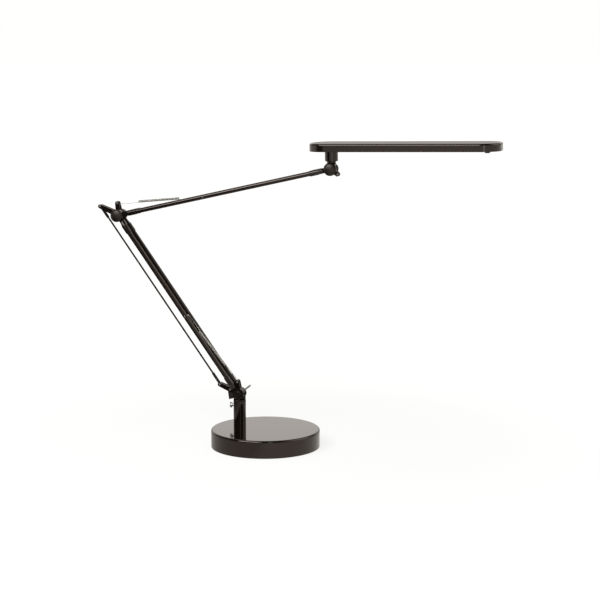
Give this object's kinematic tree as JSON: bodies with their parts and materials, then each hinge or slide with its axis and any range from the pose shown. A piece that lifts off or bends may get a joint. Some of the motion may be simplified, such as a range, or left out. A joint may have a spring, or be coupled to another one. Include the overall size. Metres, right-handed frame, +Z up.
{
  "type": "desk lamp",
  "caption": "Spring-balanced swing arm desk lamp: weighted round base, short post, parallelogram arms of paired tubes, and a flat LED head on a tilting, swivelling neck.",
  "frame": {"origin": "on the desk, under the middle of the round base", "axes": "+Z up; the arms lie in an XZ plane, with the head towards +X and the clamping knobs towards -Y"},
  "size_m": [0.7245, 0.19, 0.5349],
  "materials": {
    "black_paint": "gloss",
    "black_gloss_plastic": "gloss",
    "black_matte_plastic": "matte",
    "chrome": "polished",
    "steel": "satin",
    "dark_steel": "satin",
    "cast_iron": "matte",
    "rubber": "matte",
    "opal_plastic": "satin",
    "white_board": "satin"
  },
  "bodies": {
    "base": {"base_cover": "black_paint", "base_weight": "cast_iron", "base_pad": "rubber", "weight_screws": "steel", "power_inlet": "black_matte_plastic", "post_tube": "black_paint", "post_nipple": "steel", "post_nut": "steel", "post_bush": "black_matte_plastic"},
    "post_screw": {"post_wing_screw": "chrome"},
    "swivel": {"swivel_head": "black_paint", "lower_plate_front": "black_paint", "lower_plate_back": "black_paint", "lower_ear_pins": "dark_steel", "lower_bolt": "steel", "stop_block": "black_matte_plastic", "stop_rivet": "chrome"},
    "wing_nut": {"lower_wing_nut": "chrome"},
    "lower_arm": {"lower_tube_front": "black_paint", "lower_tube_back": "black_paint", "lower_foot_front": "black_gloss_plastic", "lower_foot_back": "black_gloss_plastic", "lower_top_front": "black_gloss_plastic", "lower_top_back": "black_gloss_plastic", "lower_cross_pin": "chrome", "lower_spring": "steel"},
    "link": {"link_rod": "black_paint", "link_eye_lower": "black_gloss_plastic", "link_eye_upper": "black_gloss_plastic"},
    "elbow": {"elbow_plate_front": "black_paint", "elbow_plate_back": "black_paint", "elbow_ear_pins": "dark_steel", "elbow_spacer": "steel", "elbow_bolt": "steel"},
    "elbow_clamp": {"elbow_knob": "black_gloss_plastic"},
    "upper_arm": {"upper_tube_front": "black_paint", "upper_tube_back": "black_paint", "upper_heel_front": "black_gloss_plastic", "upper_heel_back": "black_gloss_plastic", "upper_tip_front": "black_gloss_plastic", "upper_tip_back": "black_gloss_plastic", "upper_cross_pin": "chrome", "upper_spring": "steel"},
    "neck": {"tilt_plate_front": "black_paint", "tilt_plate_back": "black_paint", "neck_block": "black_paint", "tilt_bolt": "steel"},
    "tilt_clamp": {"tilt_knob": "black_gloss_plastic"},
    "head": {"neck_collar": "black_gloss_plastic", "neck_nut": "steel", "neck_clip": "steel", "head_cover": "black_gloss_plastic", "head_tray": "black_matte_plastic", "diffuser": "opal_plastic", "led_board": "white_board", "switch_body": "black_matte_plastic", "head_screws": "steel"},
    "button": {"switch_button": "black_gloss_plastic"}
  },
  "joints": [
    {"name": "post_screw_turn", "type": "hinge", "parent": "base", "child": "post_screw", "pos_m": [-0.06048, 0.03943, 0.06], "axis": [-1, 0, 0], "range_deg": [0, 360]},
    {"name": "base_swivel", "type": "hinge", "parent": "base", "child": "swivel", "pos_m": [-0.06048, 0.03943, 0.0697], "axis": [0, 0, 1], "range_deg": [-160, 160]},
    {"name": "wing_nut_turn", "type": "hinge", "parent": "swivel", "child": "wing_nut", "pos_m": [-0.06048, 0.03943, 0.0817], "axis": [0, 1, 0], "range_deg": [0, 360]},
    {"name": "lower_lift", "type": "hinge", "parent": "swivel", "child": "lower_arm", "pos_m": [-0.06048, 0.03943, 0.0817], "axis": [0, -1, 0], "range_deg": [-40.7, 14.3], "deforming": ["lower_spring"]},
    {"name": "link_follow", "type": "hinge", "parent": "swivel", "child": "link", "pos_m": [-0.09648, 0.03943, 0.0962], "axis": [0, -1, 0], "range_deg": [-40.7, 14.3]},
    {"name": "elbow_follow", "type": "hinge", "parent": "lower_arm", "child": "elbow", "pos_m": [-0.28398, 0.03943, 0.39273], "axis": [0, -1, 0], "range_deg": [-14.3, 40.7]},
    {"name": "elbow_knob_turn", "type": "hinge", "parent": "elbow", "child": "elbow_clamp", "pos_m": [-0.28398, 0.03943, 0.39273], "axis": [0, -1, 0], "range_deg": [0, 360]},
    {"name": "upper_lift", "type": "hinge", "parent": "elbow", "child": "upper_arm", "pos_m": [-0.28398, 0.03943, 0.39273], "axis": [0, -1, 0], "range_deg": [-31.1, 56.9], "deforming": ["upper_spring"]},
    {"name": "head_tilt", "type": "hinge", "parent": "upper_arm", "child": "neck", "pos_m": [0.10756, 0.03943, 0.48384], "axis": [0, -1, 0], "range_deg": [-60, 35]},
    {"name": "tilt_knob_turn", "type": "hinge", "parent": "neck", "child": "tilt_clamp", "pos_m": [0.10756, 0.03943, 0.48384], "axis": [0, -1, 0], "range_deg": [0, 360]},
    {"name": "head_swivel", "type": "hinge", "parent": "neck", "child": "head", "pos_m": [0.10756, 0.03943, 0.48384], "axis": [-0.0208, 0, 0.9998], "range_deg": [-90, 90]},
    {"name": "button_press", "type": "slide", "parent": "head", "child": "button", "axis": [-0.0208, 0, 0.9998], "range_m": [0, 0.0015], "stiffness_N_per_m": 400, "springref_m": -0.002}
  ],
  "couplings": [
    {"joint": "link_follow", "follows": "lower_lift", "ratio": 1},
    {"joint": "elbow_follow", "follows": "lower_lift", "ratio": -1}
  ]
}
